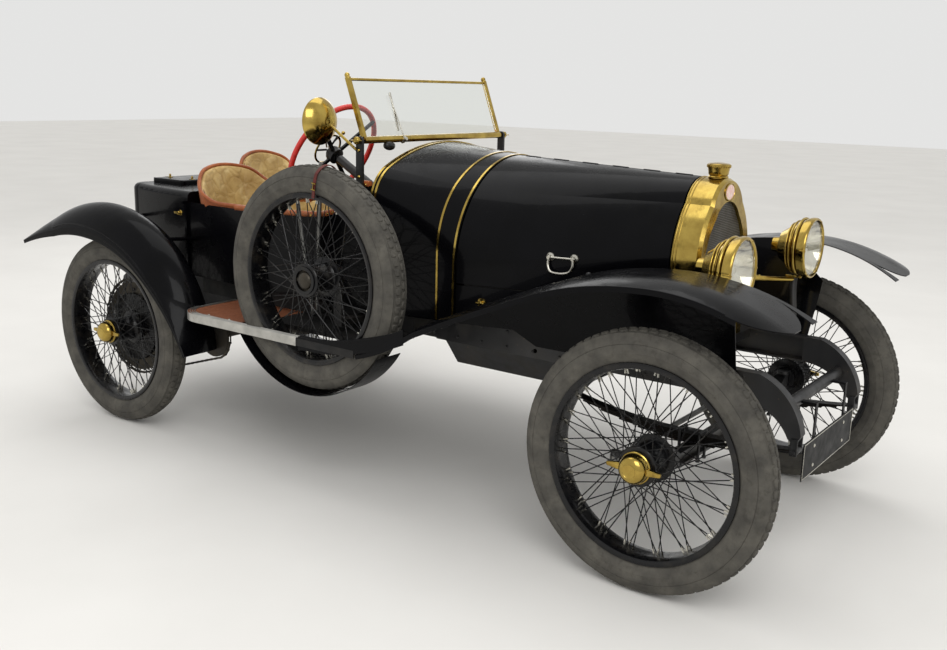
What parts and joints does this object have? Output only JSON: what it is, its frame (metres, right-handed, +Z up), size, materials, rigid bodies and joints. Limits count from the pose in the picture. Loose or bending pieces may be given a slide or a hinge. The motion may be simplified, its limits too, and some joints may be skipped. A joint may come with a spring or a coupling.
{
  "type": "antique sports car",
  "caption": "Open antique sports car with black bodywork, brass radiator, screen and lamps, wire wheels, side-mounted spare, turning wheels, steering, lifting bonnet halves and tail locker.",
  "frame": {"origin": "on the floor under the middle of the car's length and width", "axes": "+X towards the front of the car, +Y to the car's left, +Z up"},
  "size_m": [3.5274, 1.4632, 1.5214],
  "materials": {
    "coachwork": "gloss black coach lacquer",
    "chassis_paint": "semi-gloss black enamel",
    "brass": "polished",
    "wheel_paint": "gloss black enamel",
    "tyre": "weathered grey rubber",
    "glass": "clear",
    "core": "dull tinned honeycomb",
    "steel": "satin",
    "iron": "as cast",
    "dash_wood": "dark varnish",
    "red_rim": "red binding, satin",
    "spokes_black": "satin black",
    "seat_leather": "creased golden leather with a tan rolled edge",
    "boards": "worn brown top"
  },
  "bodies": {
    "chassis": {"body_tub": "coachwork", "bonnet_hinge_rod": "coachwork", "bonnet_sills": "coachwork", "brass_beading": "brass", "control_levers": "steel", "cross_members": "chassis_paint", "dashboard": "dash_wood", "drive_chains": "steel", "driver_mirror": "brass", "engine": "iron", "exhaust": "chassis_paint", "frame_rails": "chassis_paint", "front_axle": "chassis_paint", "front_wings": "coachwork", "gearbox": "iron", "headlamps": "brass", "lamp_brackets": "chassis_paint", "lamp_lenses": "glass", "leaf_springs": "chassis_paint", "number_plate": "chassis_paint", "radiator_core": "core", "radiator_shell": "brass", "rear_axle": "chassis_paint", "rear_wings": "coachwork", "running_boards": "boards", "scuttle": "coachwork", "seats": "seat_leather", "spare_carrier": "chassis_paint", "spare_tyre": "tyre", "spare_wheel": "wheel_paint", "steering_column": "chassis_paint", "tail_deck": "coachwork", "undertray": "chassis_paint", "windscreen_posts": "brass"},
    "front_left_wheel": {"wheel_front_left": "wheel_paint", "tyre_front_left": "tyre", "hub_cap_front_left": "brass"},
    "front_right_wheel": {"wheel_front_right": "wheel_paint", "tyre_front_right": "tyre", "hub_cap_front_right": "brass"},
    "rear_left_wheel": {"wheel_rear_left": "wheel_paint", "tyre_rear_left": "tyre", "hub_cap_rear_left": "brass"},
    "rear_right_wheel": {"wheel_rear_right": "wheel_paint", "tyre_rear_right": "tyre", "hub_cap_rear_right": "brass"},
    "left_knuckle": {"knuckle_left": "chassis_paint"},
    "right_knuckle": {"knuckle_right": "chassis_paint"},
    "track_rod": {"track_rod": "steel"},
    "steering_wheel": {"steering_wheel": "red_rim", "steering_wheel_spokes": "spokes_black"},
    "left_bonnet": {"bonnet_left": "coachwork"},
    "right_bonnet": {"bonnet_right": "coachwork"},
    "boot_lid": {"boot_lid": "coachwork"},
    "windscreen": {"windscreen_frame": "brass", "windscreen_glass": "glass"}
  },
  "joints": [
    {"name": "front_left_spin", "type": "hinge", "parent": "left_knuckle", "child": "front_left_wheel", "pos_m": [1.35625, 0.625, 0.4075], "axis": [0, 1, 0], "continuous": true},
    {"name": "front_right_spin", "type": "hinge", "parent": "right_knuckle", "child": "front_right_wheel", "pos_m": [1.35625, -0.625, 0.4075], "axis": [0, 1, 0], "continuous": true},
    {"name": "rear_left_spin", "type": "hinge", "parent": "chassis", "child": "rear_left_wheel", "pos_m": [-1.19375, 0.625, 0.4075], "axis": [0, 1, 0], "continuous": true},
    {"name": "rear_right_spin", "type": "hinge", "parent": "chassis", "child": "rear_right_wheel", "pos_m": [-1.19375, -0.625, 0.4075], "axis": [0, 1, 0], "continuous": true},
    {"name": "steering_wheel_turn", "type": "hinge", "parent": "chassis", "child": "steering_wheel", "pos_m": [-0.28975, -0.228, 1.206], "axis": [-0.8746, 0, 0.4848], "range_deg": [-156, 156]},
    {"name": "left_steer", "type": "hinge", "parent": "chassis", "child": "left_knuckle", "pos_m": [1.35625, 0.53, 0.4075], "axis": [0, 0, 1], "range_deg": [-26, 26]},
    {"name": "right_steer", "type": "hinge", "parent": "chassis", "child": "right_knuckle", "pos_m": [1.35625, -0.53, 0.4075], "axis": [0, 0, 1], "range_deg": [-26, 26]},
    {"name": "track_rod_pivot", "type": "hinge", "parent": "right_knuckle", "child": "track_rod", "pos_m": [1.20625, -0.53, 0.335], "axis": [0, 0, 1], "range_deg": [-26, 26]},
    {"name": "left_bonnet_lift", "type": "hinge", "parent": "chassis", "child": "left_bonnet", "pos_m": [1.19325, 0, 1.204], "axis": [0.9993, 0, -0.0381], "range_deg": [0, 60]},
    {"name": "right_bonnet_lift", "type": "hinge", "parent": "chassis", "child": "right_bonnet", "pos_m": [1.19325, 0, 1.204], "axis": [-0.9993, 0, 0.0381], "range_deg": [0, 60]},
    {"name": "boot_lid_lift", "type": "hinge", "parent": "chassis", "child": "boot_lid", "pos_m": [-1.44075, 0, 1.024], "axis": [0, -1, 0], "range_deg": [0, 100]},
    {"name": "windscreen_tilt", "type": "hinge", "parent": "chassis", "child": "windscreen", "pos_m": [0.05925, 0, 1.281], "axis": [0, 1, 0], "range_deg": [-15, 20]}
  ],
  "couplings": [
    {"joint": "left_steer", "follows": "steering_wheel_turn", "ratio": 0.16667},
    {"joint": "right_steer", "follows": "steering_wheel_turn", "ratio": 0.16667},
    {"joint": "track_rod_pivot", "follows": "steering_wheel_turn", "ratio": -0.16667}
  ]
}
